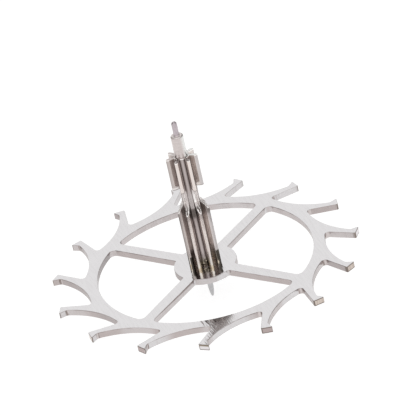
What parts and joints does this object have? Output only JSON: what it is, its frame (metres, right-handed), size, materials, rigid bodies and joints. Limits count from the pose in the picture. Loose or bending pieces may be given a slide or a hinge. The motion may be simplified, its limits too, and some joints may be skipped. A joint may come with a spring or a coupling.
{
  "type": "escape wheel",
  "caption": "Club-tooth lever escape wheel with crossed-out spokes, riveted on a leaf pinion that is one piece with its arbor and two pivots.",
  "frame": {"origin": "middle of the lower pivot's seat, the shoulder that faces the lower jewel, on the arbor's axis", "axes": "+Z along the arbor towards the upper pivot, +X along the first spoke; teeth and spokes lie in a plane square to Z"},
  "size_m": [0.0056, 0.0056, 0.0036],
  "materials": {
    "wheel_steel": "hardened steel, mirror polished flat on its faces",
    "pinion_steel": "hardened steel, polished leaves and burnished pivots"
  },
  "bodies": {
    "root": {"escape_wheel": "wheel_steel", "escape_pinion": "pinion_steel"}
  },
  "joints": []
}
